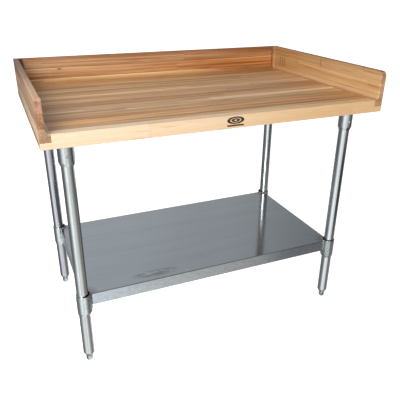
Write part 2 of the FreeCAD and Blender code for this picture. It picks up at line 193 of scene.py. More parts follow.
# How far the fine figure jumps from board to board, and how little of that the slow figure shares.
BOARD_SHIFT = (9.0, 9.0, 9.0)
FIGURE_BREAK = (0.02, 0.02, 0.02)
FIGURE_DEPTH = 3.0
LINES_DEPTH = 2.7
BOARD_DEPTH = 0.25
BOARD_TINT = (1.0, 0.96, 0.91, 1.0)
SLOPE_SHADE_TINT = (0.46, 0.40, 0.36, 1.0)
BAND_WAVER = 0.012
KNOT_SQUEEZE = 0.28
CORNER_SHADE_REACH = (0.001, 0.006)
ARRIS_REACH = (0.002, 0.0065)
ARRIS_HEIGHTS = (0.966, 0.980)
ARRIS_HIGHLIGHT_TINT = (1.30, 1.46, 1.75, 1.0)
SEAM_TONE = colour(96, 62, 40)
KNOT_EYE = colour(140, 88, 52)
KNOT_HEART = colour(58, 36, 24)
END_TINT = (0.80, 0.71, 0.68, 1.0)
WHITE = (1.0, 1.0, 1.0, 1.0)
CORNER_SHADE_TONE = colour(112, 82, 60)
BURN_TONE = colour(26, 13, 8)
RISER_TOP = TOP_HIGH.z
INNER_X = TOP_HIGH.x - size("riser_left_middle").x
INNER_Y = TOP_HIGH.y - size("riser_back_middle").y


def wood(name, pale, deep, along, seed, board, joint_at, seams, **extras):
    """Oiled maple of finger-jointed boards.

    board is the length of its boards, joint_at the place of one joint, and seams the (axis, first
    seam, pitch) of the glue lines. The extras are:

    bands: (height, half width, tint) of each band along the grain, some streaks of tone and some painted
    highlights and painted shade;
    drift: the (start, end, tint) of a slow change of colour along it, painted shade where it darkens away
    from the key light;
    knots: each a place and a radius;
    combs: the (place, half width, pitch) of end-on finger joints;
    corners: inner corners, darkened with painted shade;
    arris: the place of an end whose arris gets a painted highlight;
    mark: a function that gives a branded mark;
    slope: how much one edge of a stave is darker than the other, painted shade beside the glue line;
    contrast: how strong the figure is;
    glue: how dark the glue lines are;
    tint, end and crown: tints of the whole piece, its end grain and its top edge, the last of them painted
    shade.
    """
    s = Shader(name)
    x, y, z = s.axes(s.place)
    run, across, up = (x, y, z) if along == "X" else (y, x, z)
    normal = s.axes(s.node("ShaderNodeNewGeometry").outputs["Normal"])
    facing = dict(zip("XYZ", (s.math("ABSOLUTE", part) for part in normal)))
    # Boards, with fingers that interlock where two meet.
    side = s.math("ADD", across, up)
    finger = s.math("PINGPONG", side, FINGER_PITCH / 2)
    finger = s.math("MULTIPLY", finger, FINGER_LENGTH / (FINGER_PITCH / 2))
    place = s.math("DIVIDE", s.math("SUBTRACT", s.math("ADD", run, finger), joint_at), board)
    number = s.math("FLOOR", place)
    share = s.math("FRACT", place)
    edge = s.math("MULTIPLY", s.math("MINIMUM", share, s.math("SUBTRACT", 1.0, share)), board)
    joint = s.between(edge, 0.0, SEAM * 0.7, 1.0, 0.0)
    value, tint = s.random(s.math("ADD", number, seed * 7.31))
    shift = s.scale(tint, BOARD_SHIFT)
    # Figure: slow bands, growth lines and fine fibre, each far longer along the grain than across it.
    base = s.vector(run, across, up)
    figure = s.noise(s.move(s.scale(base, FIGURE_SCALE), s.scale(shift, FIGURE_BREAK)), 3.0, 0.55, 0.3)
    lines = s.noise(s.move(s.scale(base, LINES_SCALE), shift), 3.0, 0.6, 0.4)
    fibre = s.noise(s.move(s.scale(base, FIBRE_SCALE), shift), 2.0, 0.6)
    flecks = s.noise(s.move(s.scale(base, FLECK_SCALE), shift), 1.0, 0.4)
    contrast = extras.get("contrast", 1.1)
    depth = s.math("MULTIPLY", s.math("SUBTRACT", figure, 0.5), FIGURE_DEPTH * contrast)
    depth = s.math("ADD", depth, s.math("MULTIPLY", s.math("SUBTRACT", lines, 0.5), LINES_DEPTH * contrast))
    depth = s.math("ADD", depth, s.math("MULTIPLY", s.math("SUBTRACT", value, 0.5), BOARD_DEPTH))
    depth = s.math("ADD", depth, 0.5, clamp=True)
    shade = s.mix(depth, pale, deep)
    shade = s.mix(value, shade, s.mix(1.0, shade, BOARD_TINT, "MULTIPLY"))
    shade = s.mix(1.0, shade, extras.get("tint", WHITE), "MULTIPLY")
    # A slow change of colour along the grain; where it darkens to the right or the back it is painted shade
    # of the key light falling off.
    if "drift" in extras:
        start, end, tint_there = extras["drift"]
        shade = s.mix(s.between(run, start, end), shade, s.mix(1.0, shade, tint_there, "MULTIPLY"))
    # Bands along the grain: streaks of tone, and on the risers painted highlights along the glue line and
    # the cove top and painted shade in the cove.
    waver = s.math("MULTIPLY", s.math("SUBTRACT", figure, 0.5), BAND_WAVER)
    for height, half, tint_there in extras.get("bands", ()):
        away = s.math("ABSOLUTE", s.math("SUBTRACT", s.math("ADD", up, waver), height))
        there = s.between(away, half * 0.5, half * 1.5, 1.0, 0.0)
        shade = s.mix(there, shade, s.mix(1.0, shade, tint_there, "MULTIPLY"))
    shade = s.mix(s.between(flecks, 0.62, 0.74, 0.0, 0.5), shade, s.mix(1.0, shade, deep, "MULTIPLY"))
    shade = s.mix(s.between(fibre, 0.35, 0.75, 0.0, 0.13), shade, SEAM_TONE)
    shade = s.mix(s.math("MULTIPLY", joint, 0.4), shade, SEAM_TONE)
    # Glue lines between this piece and its neighbours, some darker than others.
    axis, first, pitch = seams
    phase = s.math("DIVIDE", s.math("SUBTRACT", {"Y": y, "Z": z}[axis], first), pitch)
    gap = s.math("MULTIPLY", s.math("PINGPONG", phase, 0.5), pitch)
    seam = s.between(gap, 0.0, SEAM, 1.0, 0.0)
    # Painted shade: each stave darkens across its width towards one glue line.
    slope = s.math("MULTIPLY", s.math("FRACT", phase), extras.get("slope", 0.0))
    shade = s.mix(slope, shade, s.mix(1.0, shade, SLOPE_SHADE_TINT, "MULTIPLY"))
    seam = s.math("MULTIPLY", seam, s.between(facing[axis], 0.4, 0.8, 1.0, 0.0))
    which, _ = s.random(s.math("ADD", s.math("ROUND", phase), 0.5))
    patchy = s.noise(s.scale(base, (4.0, 0.0, 0.0)), 2.0)
    patches = s.between(patchy, 0.35, 0.65, 0.3, 1.0)
    strength = s.math("MULTIPLY", s.math("MULTIPLY", which, 1.5), patches, clamp=True)
    seam_shade = s.math("MULTIPLY", strength, extras.get("glue", 1.0))
    shade = s.mix(s.math("MULTIPLY", seam, seam_shade), shade, SEAM_TONE)
    # Knots: a dark heart in a wider warm eye, drawn out along the grain.
    squeeze = (KNOT_SQUEEZE, 1.0, 1.0) if along == "X" else (1.0, KNOT_SQUEEZE, 1.0)
    for spot, radius in extras.get("knots", ()):
        away = s.distance(s.scale(s.place, squeeze), [a * b for a, b in zip(spot, squeeze)])
        shade = s.mix(s.between(away, 0.0, radius * 2.4, 0.55, 0.0), shade, KNOT_EYE)
        shade = s.mix(s.between(away, radius * 0.3, radius, 0.85, 0.0), shade, KNOT_HEART)
    for spot, half, pitch in extras.get("combs", ()):
        near = s.between(s.math("ABSOLUTE", s.math("SUBTRACT", run, spot)), half * 0.8, half, 1.0, 0.0)
        tooth = s.math("PINGPONG", s.math("SUBTRACT", run, spot), pitch / 2)
        tooth = s.between(tooth, pitch * 0.08, pitch * 0.25, 1.0, 0.0)
        shade = s.mix(s.math("MULTIPLY", s.math("MULTIPLY", near, tooth), 0.7), shade, SEAM_TONE)
    # Painted shade down the inner corners where the side risers meet the back riser.
    for spot in extras.get("corners", ()):
        away = s.distance(s.vector(x, y, 0.0), spot)
        shade = s.mix(s.between(away, *CORNER_SHADE_REACH, 0.6, 0.0), shade, CORNER_SHADE_TONE)
    # A painted highlight, lighter and bluer, down the arris of the front end.
    if "arris" in extras:
        near = s.math("ABSOLUTE", s.math("SUBTRACT", run, extras["arris"]))
        near = s.between(near, *ARRIS_REACH, 1.0, 0.0)
        highlight_share = s.math("MULTIPLY", near, s.between(z, *ARRIS_HEIGHTS, 1.0, 0.2))
        bright = s.mix(1.0, shade, ARRIS_HIGHLIGHT_TINT, "MULTIPLY")
        shade = s.mix(highlight_share, shade, bright)
    if "mark" in extras:
        shade = s.mix(extras["mark"](s), shade, BURN_TONE)
    # End grain drinks more oil, and shows the rings as arcs.
    middle = s.vector(0.0, s.math("ADD", across, 0.35), s.math("ADD", up, 0.2))
    ring = s.math("SINE", s.math("MULTIPLY", s.distance(middle, (0.0, 0.0, 0.0)), RING_RATE))
    pores = s.noise(s.scale(base, PORE_SCALE), 2.0, 0.6)
    end = s.mix(1.0, shade, extras.get("end", END_TINT), "MULTIPLY")
    end = s.mix(s.between(ring, -1.0, 1.0, 0.0, 0.2), end, SEAM_TONE)
    end = s.mix(s.between(pores, 0.5, 0.7, 0.0, 0.22), end, SEAM_TONE)
    ends = s.between(facing[along], 0.6, 0.85)
    shade = s.mix(ends, shade, end)
    # Painted shade: the risers' upward-facing top edges are darkened, as they catch little light from
    # above.
    topmost = s.between(z, RISER_TOP - 0.004, RISER_TOP - 0.001)
    crown = s.math("MULTIPLY", s.between(normal[2], 0.5, 0.9), topmost)
    shade = s.mix(crown, shade, s.mix(1.0, shade, extras.get("crown", WHITE), "MULTIPLY"))
    s.set(Base_Color=shade)
    s.set(Roughness=s.math("ADD", s.between(fibre, 0.3, 0.7, 0.40, 0.50), s.math("MULTIPLY", ends, 0.2)))
    s.set(Specular_IOR_Level=0.35)
    height = s.math("MULTIPLY", fibre, 0.25)
    height = s.math("SUBTRACT", height, s.math("MAXIMUM", seam, s.math("MULTIPLY", joint, 0.4)))
    s.bump(height, 0.00025, 0.6)
    return s.material


TONES = {
    "maple_pale": (colour(246, 228, 202), colour(230, 206, 172)),
    "maple_light": (colour(238, 202, 160), colour(188, 155, 120)),
    "maple_mid": (colour(226, 183, 138), colour(175, 139, 103)),
    "maple_warm": (colour(220, 171, 122), colour(171, 129, 91)),
    "maple_dark": (colour(216, 165, 113), colour(164, 118, 78)),
    "maple_amber": (colour(226, 180, 137), colour(180, 126, 84)),
    "maple_golden": (colour(230, 192, 146), colour(200, 154, 106)),
}

slot_of = {part["node"]: part["material_slot"] for part in frame["record"]["subparts"]}


def paint(node, material):
    """Give a CAD node one material."""
    slots = NODES[node].data.materials
    slots.clear()
    slots.append(material)


MARK_X = 0.005
MARK_HEIGHT = WORK_HEIGHT - 0.0172
MARK_RADII = (0.031, 0.0122)
BAR_HEIGHT = WORK_HEIGHT - 0.0342


def burned_mark(s):
    """An oval of growth rings over a bar, branded on the front edge."""
    x, _, z = s.axes(s.place)
    across = s.math("DIVIDE", s.math("SUBTRACT", x, MARK_X), MARK_RADII[0])
    up = s.math("DIVIDE", s.math("SUBTRACT", z, MARK_HEIGHT), MARK_RADII[1])
    radius = s.math("POWER", s.math("ADD", s.math("POWER", across, 2.0), s.math("POWER", up, 2.0)), 0.5)
    ring = s.between(s.math("ABSOLUTE", s.math("SUBTRACT", radius, 0.82)), 0.17, 0.2, 1.0, 0.0)
    inner = s.between(s.math("ABSOLUTE", s.math("SUBTRACT", radius, 0.34)), 0.15, 0.19, 1.0, 0.0)
    wide = s.between(s.math("ABSOLUTE", across), 0.94, 1.0, 1.0, 0.0)
    low = s.math("ABSOLUTE", s.math("SUBTRACT", z, BAR_HEIGHT))
    bar = s.math("MULTIPLY", wide, s.between(low, 0.0025, 0.003, 1.0, 0.0))
    burn = s.math("MAXIMUM", s.math("MAXIMUM", ring, inner), bar)
    patchy = s.noise(s.scale(s.place, (400.0, 400.0, 400.0)), 2.0)
    return s.math("MULTIPLY", burn, s.between(patchy, 0.3, 0.6, 0.88, 1.0))


# Staves change colour along their length. The default, front and reddening tints darken and warm them to
# the right: painted shade for the key light falling off away from the front left, and in the reddening
# staves a redder tone as well. The greying tint lightens some staves to the right.
STAVE_SHADE_DRIFT = (0.1, 0.6, (1.0, 0.94, 0.86, 1.0))
GREYING_DRIFT = (0.0, 0.5, (1.16, 1.15, 1.12, 1.0))
REDDENING_SHADE_DRIFT = (0.0, 0.5, (0.84, 0.76, 0.65, 1.0))
FRONT_SHADE_DRIFT = (-0.25, 0.45, (0.92, 0.80, 0.64, 1.0))
GREYING = (6, 7, 8, 12, 13, 14, 15)
REDDENING = (2, 4, 5, 9, 10, 18, 19)
STAVE_TINTS = {
    1: (0.96, 0.92, 0.90, 1.0), 2: (1.18, 1.15, 1.07, 1.0), 3: (1.2, 1.17, 1.04, 1.0),
    4: (1.05, 0.94, 0.77, 1.0), 5: (1.02, 0.91, 0.77, 1.0), 6: (1.14, 1.15, 1.15, 1.0),
    7: (1.04, 1.03, 1.03, 1.0), 9: (0.95, 0.85, 0.75, 1.0), 10: (0.93, 0.82, 0.74, 1.0),
    11: (1.08, 1.02, 0.95, 1.0), 12: (1.04, 0.99, 0.95, 1.0), 13: (1.29, 1.32, 1.32, 1.0),
    14: (0.86, 0.84, 0.84, 1.0), 15: (0.9, 0.87, 0.85, 1.0), 16: (1.05, 1.06, 1.06, 1.0),
    17: (1.09, 1.1, 1.1, 1.0), 18: (1.25, 1.43, 1.63, 1.0), 19: (1.16, 1.1, 0.98, 1.0),
}
STAVE_CONTRAST = 1.3
FRONT_CONTRAST = 0.35
# The length of the boards of the right riser's upper strip.
FINGERED = 0.257
LEFT_CROWN_SHADE = (0.88, 0.88, 0.84, 1.0)
RIGHT_CROWN_SHADE = (0.50, 0.46, 0.41, 1.0)
BACK_CROWN_SHADE = (0.44, 0.28, 0.20, 1.0)
BACK_END = (1.0, 1.1, 1.25, 1.0)

# Each strip of the riser: its tone, its bands, and how its colour changes along it. That change darkens
# every strip towards the right or the back: painted shade for the key light falling off away from the front
# left. The light bands near z 0.97 along the glue line and near z 0.93 at the cove top are painted
# highlights, and the dark bands at z 0.914 and 0.917 in the coves are painted shade; the other bands are
# streaks of tone.
RISER_LOOKS = {
    "riser_back_upper": dict(
        tone="maple_amber", board=0.62, joint_at=0.12, tint=(0.95, 1.01, 1.06, 1.0),
        bands=[(1.009, 0.0085, (0.68, 0.55, 0.48, 1.0)), (0.979, 0.004, (1.07, 1.11, 1.13, 1.0))],
        drift=(-0.25, 0.6, (0.78, 0.66, 0.52, 1.0)), end=BACK_END, crown=BACK_CROWN_SHADE,
    ),
    "riser_back_middle": dict(
        tone="maple_amber", board=0.55, joint_at=-0.46, tint=(1.03, 1.09, 1.11, 1.0),
        bands=[
            (0.9715, 0.0028, (1.22, 1.3, 1.42, 1.0)), (0.950, 0.0045, (0.84, 0.76, 0.68, 1.0)),
            (0.938, 0.003, (0.9, 0.78, 0.66, 1.0)),
        ],
        drift=(-0.25, 0.45, (0.88, 0.64, 0.38, 1.0)), end=BACK_END, crown=BACK_CROWN_SHADE,
        knots=[((-0.437, 0.362, 0.9685), 0.0026)],
    ),
    "riser_back_lower": dict(
        tone="maple_golden", board=0.9, joint_at=-0.5, tint=(1.02, 1.08, 1.1, 1.0),
        bands=[(0.9295, 0.003, (1.28, 1.32, 1.3, 1.0)), (0.917, 0.004, (0.84, 0.74, 0.64, 1.0))],
        drift=(-0.1, 0.55, (0.56, 0.37, 0.23, 1.0)), end=BACK_END, crown=BACK_CROWN_SHADE,
    ),
    "riser_right_upper": dict(
        tone="maple_golden", board=FINGERED, joint_at=-0.012, tint=(0.79, 0.78, 0.75, 1.0), contrast=0.7,
        bands=[(1.001, 0.004, (0.94, 0.9, 0.88, 1.0)), (0.977, 0.0025, (1.06, 1.08, 1.08, 1.0))],
        drift=(-0.3, 0.3, (0.88, 0.80, 0.68, 1.0)), arris=-0.381,
        combs=[(-0.012, 0.005, 0.0095)], glue=0.3, crown=RIGHT_CROWN_SHADE,
    ),
    "riser_right_middle": dict(
        tone="maple_golden", board=0.47, joint_at=0.16, tint=(0.86, 0.84, 0.8, 1.0), contrast=0.7,
        bands=[(0.970, 0.0035, (1.12, 1.16, 1.2, 1.0)), (0.952, 0.006, (0.92, 0.88, 0.82, 1.0))],
        drift=(-0.3, 0.3, (0.86, 0.78, 0.66, 1.0)), arris=-0.381,
        combs=[(0.285, 0.038, 0.019)], glue=0.3, crown=RIGHT_CROWN_SHADE,
    ),
    "riser_right_lower": dict(
        tone="maple_golden", board=0.53, joint_at=-0.12, tint=(0.82, 0.79, 0.76, 1.0), contrast=0.7,
        bands=[(0.925, 0.004, (1.06, 1.08, 1.08, 1.0)), (0.914, 0.003, (0.84, 0.78, 0.74, 1.0))],
        drift=(-0.3, 0.3, (0.88, 0.78, 0.66, 1.0)), arris=-0.381, glue=0.3, end=(0.68, 0.60, 0.52, 1.0),
        crown=RIGHT_CROWN_SHADE,
    ),
    "riser_left_upper": dict(
        tone="maple_mid", board=0.41, joint_at=-0.05, tint=(0.84, 0.83, 0.96, 1.0),
        drift=(-0.35, 0.3, (0.46, 0.40, 0.42, 1.0)), end=(0.83, 0.76, 0.80, 1.0), crown=LEFT_CROWN_SHADE,
    ),
    "riser_left_middle": dict(
        tone="maple_warm", board=0.41, joint_at=0.11, tint=(0.88, 0.95, 1.12, 1.0),
        drift=(-0.35, 0.3, (0.84, 0.90, 0.98, 1.0)), end=(0.76, 0.64, 0.59, 1.0), crown=LEFT_CROWN_SHADE,
    ),
    "riser_left_lower": dict(
        tone="maple_mid", board=0.41, joint_at=-0.2, tint=(1.06, 1.34, 1.72, 1.0),
        bands=[(0.905, 0.012, (1.04, 1.1, 1.14, 1.0)), (0.930, 0.003, (1.1, 1.13, 1.15, 1.0))],
        drift=(-0.1, 0.35, (0.66, 0.66, 0.68, 1.0)), end=(0.74, 0.55, 0.47, 1.0), crown=LEFT_CROWN_SHADE,
    ),
}


def paint_wood():
    for node, slot in slot_of.items():
        if not slot.startswith("maple"):
            continue
        if node.startswith("stave"):
            number = int(node[-2:])
            extras = dict(drift=STAVE_SHADE_DRIFT, slope=0.15 + 0.07 * (number * 3 % 7), contrast=STAVE_CONTRAST)
            extras["tint"] = STAVE_TINTS.get(number, WHITE)
            if number == 1:
                extras.update(mark=burned_mark, slope=0.0, drift=FRONT_SHADE_DRIFT, contrast=FRONT_CONTRAST)
            elif number in GREYING:
                extras["drift"] = GREYING_DRIFT
            elif number in REDDENING:
                extras["drift"] = REDDENING_SHADE_DRIFT
            seed = 3.1 + 1.7 * number
            board = 0.46 + 0.06 * (number * 5 % 7)
            seams = ("Y", TOP_LOW.y, STAVE_WIDTH)
            joint_at = -0.28 if number == 1 else seed * 0.37 % board
            material = wood(f"wood_{node}", *TONES[slot], "X", seed, board, joint_at, seams, **extras)
        else:
            look = dict(RISER_LOOKS[node])
            along = "X" if "back" in node else "Y"
            seed = 40.3 + 2.9 * len(node) + 13.0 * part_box(node)[0].z
            seams = ("Z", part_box("riser_back_lower")[0].z, STRIP_HEIGHT)
            tone = TONES[look.pop("tone")]
            look["corners"] = [(side * INNER_X, INNER_Y, 0.0) for side in (-1, 1)]
            material = wood(
                f"wood_{node}", *tone, along, seed, look.pop("board"), look.pop("joint_at"), seams, **look
            )
        paint(node, material)


# --- Steel ---------------------------------------------------------------------------------------
HEAT_TONE = colour(120, 108, 96)
CLOUD_SCALE = (14.0, 14.0, 14.0)
GRIT_SCALE = (420.0, 420.0, 420.0)
WORN_SHARE = 0.62


def darker(tone, share):
    return tuple(c * share for c in tone[:3]) + (1.0,)


def steel(name, tone, roughness, stretch, wear, bump, blotch=0.0):
    """Bare steel.

    stretch is the scale of its drawing lines along X, Y and Z, wear how dark they are, bump how deep,
    and blotch how spotted the steel is.
    """
    s = Shader(name)
    lines = s.noise(s.scale(s.place, stretch), 4.0, 0.65)
    clouds = s.noise(s.scale(s.place, CLOUD_SCALE), 4.0, 0.55)
    grit = s.noise(s.scale(s.place, GRIT_SCALE), 3.0, 0.6)
    dark = darker(tone, WORN_SHARE)
    shade = s.mix(s.between(lines, 0.3, 0.7, 0.0, wear), tone, dark)
    shade = s.mix(s.between(clouds, 0.45, 0.7, 0.0, wear * 0.5), shade, dark)
    shade = s.mix(s.between(grit, 0.5, 0.68, 0.0, blotch), shade, dark)
    s.set(Base_Color=shade, Metallic=1.0)
    rough = s.between(clouds, 0.3, 0.7, roughness * 0.85, roughness * 1.2)
    s.set(Roughness=s.math("ADD", rough, s.between(lines, 0.3, 0.7, 0.0, 0.06)))
    s.bump(s.math("ADD", lines, s.math("MULTIPLY", grit, 0.3 + blotch)), bump)
    return s.material


SOCKET_TONE = colour(212, 217, 218)
SLEEVE_TONE = colour(212, 220, 222)
STAIN_TONES = (colour(196, 202, 200), colour(72, 74, 72))
STAIN_SIDE = (0.510, 0.528)
STAIN_TOP = (0.30, 0.32)


def sleeve_steel():
    """Turned steel, rough and heat-stained on the side that is welded to the shelf."""
    s = Shader("welded_sleeve")
    x, _, z = s.axes(s.place)
    grit = s.noise(s.scale(s.place, (330.0, 330.0, 330.0)), 3.0, 0.6)
    coarse = s.noise(s.scale(s.place, (110.0, 110.0, 110.0)), 3.0, 0.6)
    shade = s.mix(s.between(coarse, 0.4, 0.7, 0.0, 0.3), SLEEVE_TONE, darker(SLEEVE_TONE, 0.6))
    inboard = s.between(s.math("ABSOLUTE", x), *STAIN_SIDE, 1.0, 0.0)
    inboard = s.math("MULTIPLY", inboard, s.between(z, *STAIN_TOP, 1.0, 0.0))
    stain = s.mix(s.between(grit, 0.42, 0.6), *STAIN_TONES)
    shade = s.mix(s.math("MULTIPLY", inboard, 0.85), shade, stain)
    s.set(Base_Color=shade, Metallic=1.0)
    rough = s.between(coarse, 0.3, 0.7, 0.16, 0.24)
    s.set(Roughness=s.math("ADD", rough, s.math("MULTIPLY", inboard, 0.14)))
    height = s.math("ADD", s.math("MULTIPLY", coarse, 0.4), s.math("MULTIPLY", inboard, grit))
    s.bump(height, 0.00025)
    return s.material


SHEET_TONE = colour(180, 187, 193)
SCUFF_TONE = colour(225, 232, 238)
SPECK_TONE = colour(236, 238, 240)
FLANGE_LIT_TONES = (colour(190, 198, 206), colour(156, 162, 167))
BRUSH_SCALE = (3.0, 800.0, 800.0)
ROLLING_SCALE = (1.2, 16.0, 16.0)
SMUDGE_SCALE = (5.0, 13.0, 13.0)
SCUFF_SCALE = (34.0, 300.0, 300.0)
PRINT_SCALE = (24.0, 70.0, 70.0)
MOTTLE_SCALE = (60.0, 90.0, 140.0)
SMUDGE = (-0.245, -0.25)
SMUDGE_STRETCH = 4.0
SMUDGE_REACH = (0.05, 0.12)
SPECK = (-0.125, -0.279)
SPECK_REACH = (0.0015, 0.003)
HEAT_REACH = (0.03, 0.065)


def shelf_steel():
    """Sheet brushed along X, with smudges, scuffs and heat stains round the welded corners."""
    s = Shader("brushed_sheet")
    dark = darker(SHEET_TONE, 0.7)
    brush = s.noise(s.scale(s.place, BRUSH_SCALE), 3.0, 0.6)
    rolling = s.noise(s.scale(s.place, ROLLING_SCALE), 3.0, 0.55)
    smudge = s.noise(s.scale(s.place, SMUDGE_SCALE), 4.0, 0.6, 0.6)
    scuff = s.noise(s.scale(s.place, SCUFF_SCALE), 2.0, 0.5, 0.4)
    shade = s.mix(s.between(brush, 0.3, 0.7, 0.0, 0.3), SHEET_TONE, dark)
    shade = s.mix(s.between(rolling, 0.35, 0.7, 0.0, 0.17), shade, dark)
    shade = s.mix(s.between(smudge, 0.6, 0.8, 0.0, 0.3), shade, dark)
    shade = s.mix(s.between(scuff, 0.68, 0.78, 0.0, 0.35), shade, SCUFF_TONE)
    flat = s.scale(s.place, (1.0, SMUDGE_STRETCH, 1.0))
    away = s.distance(flat, (SMUDGE[0], SMUDGE[1] * SMUDGE_STRETCH, SHELF_TOP))
    prints = s.between(s.noise(s.scale(s.place, PRINT_SCALE), 3.0, 0.6, 0.5), 0.42, 0.56)
    handled = s.math("MULTIPLY", s.between(away, *SMUDGE_REACH, 1.0, 0.0), prints)
    shade = s.mix(s.math("MULTIPLY", handled, 0.6), shade, darker(SHEET_TONE, 0.5))
    speck = s.distance(s.place, (*SPECK, SHELF_TOP))
    shade = s.mix(s.between(speck, *SPECK_REACH, 0.9, 0.0), shade, SPECK_TONE)
    for corner in CORNERS:
        spot = tuple(centre(f"shelf_sleeve_{corner}").xy) + (SHELF_TOP,)
        away = s.distance(s.place, spot)
        shade = s.mix(s.between(away, *HEAT_REACH, 0.5, 0.0), shade, HEAT_TONE)
    # The folded flanges get a brighter, bluer tone than the top sheet, painted light for the light they
    # catch, with patches of a coarser grain.
    normal = s.axes(s.node("ShaderNodeNewGeometry").outputs["Normal"])
    upright = s.between(s.math("ABSOLUTE", normal[2]), 0.5, 0.9, 1.0, 0.0)
    mottle = s.noise(s.scale(s.place, MOTTLE_SCALE), 4.0, 0.65)
    flange = s.mix(s.between(mottle, 0.4, 0.65, 0.0, 0.35), *FLANGE_LIT_TONES)
    shade = s.mix(upright, shade, flange)
    s.set(Base_Color=shade, Metallic=1.0)
    rough = s.math("ADD", s.between(smudge, 0.4, 0.8, 0.09, 0.12), s.between(brush, 0.3, 0.7, 0.0, 0.03))
    rough = s.math("ADD", rough, s.math("MULTIPLY", handled, 0.15))
    s.set(Roughness=s.math("ADD", rough, s.math("MULTIPLY", upright, 0.1)))
    s.bump(brush, 0.00002)
    return s.material


def paint_steel():
    """One steel for each slot, but a rougher one on the sleeves and a duller one on the back left leg."""
    made = {
        "leg_steel": steel("drawn_tube", colour(222, 226, 227), 0.14, (170, 170, 1.2), 0.5, 0.00013),
        "leg_end": steel("turned_end", colour(196, 203, 202), 0.18, (170, 170, 3.0), 0.42, 0.00012, 0.15),
        "foot_steel": steel("foot", colour(206, 210, 210), 0.16, (60, 60, 700), 0.5, 0.00012, 0.3),
        "screw_steel": steel("zinc", colour(190, 192, 194), 0.2, (90, 90, 90), 0.3, 0.00005, 0.2),
        "rail_steel": steel("galvanised", colour(176, 182, 186), 0.42, (30, 30, 30), 0.4, 0.00005, 0.2),
        "cast_socket": steel("cast_socket", SOCKET_TONE, 0.17, (120, 120, 5.0), 0.3, 0.0001, 0.25),
        "shelf_steel": shelf_steel(),
    }
    sleeve = sleeve_steel()
    dull = steel("dull_tube", colour(205, 206, 214), 0.13, (170, 170, 1.2), 0.6, 0.00013)
    for node, slot in slot_of.items():
        if slot in made:
            paint(node, sleeve if node.startswith("shelf_sleeve") else made[slot])
    paint("leg_back_left", dull)


WELD_TONES = (colour(206, 208, 208), colour(112, 106, 102))
WELD_PITS = colour(70, 66, 66)


def weld_material():
    """Rippled, heat-tinted weld metal."""
    s = Shader("weld_bead")
    clouds = s.noise(s.scale(s.place, (160.0, 160.0, 160.0)), 3.0, 0.6)
    grit = s.noise(s.scale(s.place, (500.0, 500.0, 500.0)), 2.0, 0.6)
    shade = s.mix(s.between(clouds, 0.35, 0.65), *WELD_TONES)
    shade = s.mix(s.between(grit, 0.45, 0.65, 0.0, 0.6), shade, WELD_PITS)
    s.set(Base_Color=shade, Metallic=1.0, Roughness=s.between(grit, 0.3, 0.7, 0.25, 0.45))
    s.bump(s.math("ADD", clouds, grit), 0.0002)
    return s.material


# --- Added pieces --------------------------------------------------------------------------------
def new_piece(name, bm, material, smooth=True):
    bmesh.ops.recalc_face_normals(bm, faces=bm.faces)
    mesh = bpy.data.meshes.new(name)
    bm.to_mesh(mesh)
    bm.free()
    for polygon in mesh.polygons:
        polygon.use_smooth = smooth
    mesh.materials.append(material)
    piece = bpy.data.objects.new(name, mesh)
    bpy.context.scene.collection.objects.link(piece)
    return piece


def tube_along(bm, points, radii, segments):
    """A closed tube with a radius of its own at each point of its line."""
    rings = []
    for i, point in enumerate(points):
        before, after = points[max(i - 1, 0)], points[min(i + 1, len(points) - 1)]
        forward = (after - before).normalized()
        side = forward.cross(Vector((0, 0, 1)))
        side = side.normalized() if side.length > 0.01 else forward.orthogonal().normalized()
        top = side.cross(forward)
        ring = []
        for k in range(segments):
            turn = 2 * math.pi * k / segments
            ring.append(bm.verts.new(point + radii[i] * (side * math.cos(turn) + top * math.sin(turn))))
        rings.append(ring)
    for first, second in zip(rings, rings[1:]):
        for k in range(segments):
            bm.faces.new((first[k], first[(k + 1) % segments], second[(k + 1) % segments], second[k]))
    bm.faces.new(rings[0][::-1])
    bm.faces.new(rings[-1])


BEAD_SIDES = 8
BEAD_SWELL = 0.16
# The radius and the length of one ripple of each kind of bead, and the steps in each of its curves.
TOP_BEAD = (0.003, 0.0052)
FLANGE_BEAD = (0.0036, 0.006)
SOCKET_BEAD = (0.0024, 0.0045)
ARC_STEPS = 120
RING_STEPS = 240


def rippled_bead(bm, points, radius, ripple):
    """A weld bead: a tube that swells and narrows with each ripple."""
    travelled, radii = 0.0, []
    for i, point in enumerate(points):
        travelled += (point - points[i - 1]).length if i else 0.0
        radii.append(radius * (1.0 + BEAD_SWELL * math.sin(2 * math.pi * travelled / ripple)))
    tube_along(bm, points, radii, BEAD_SIDES)


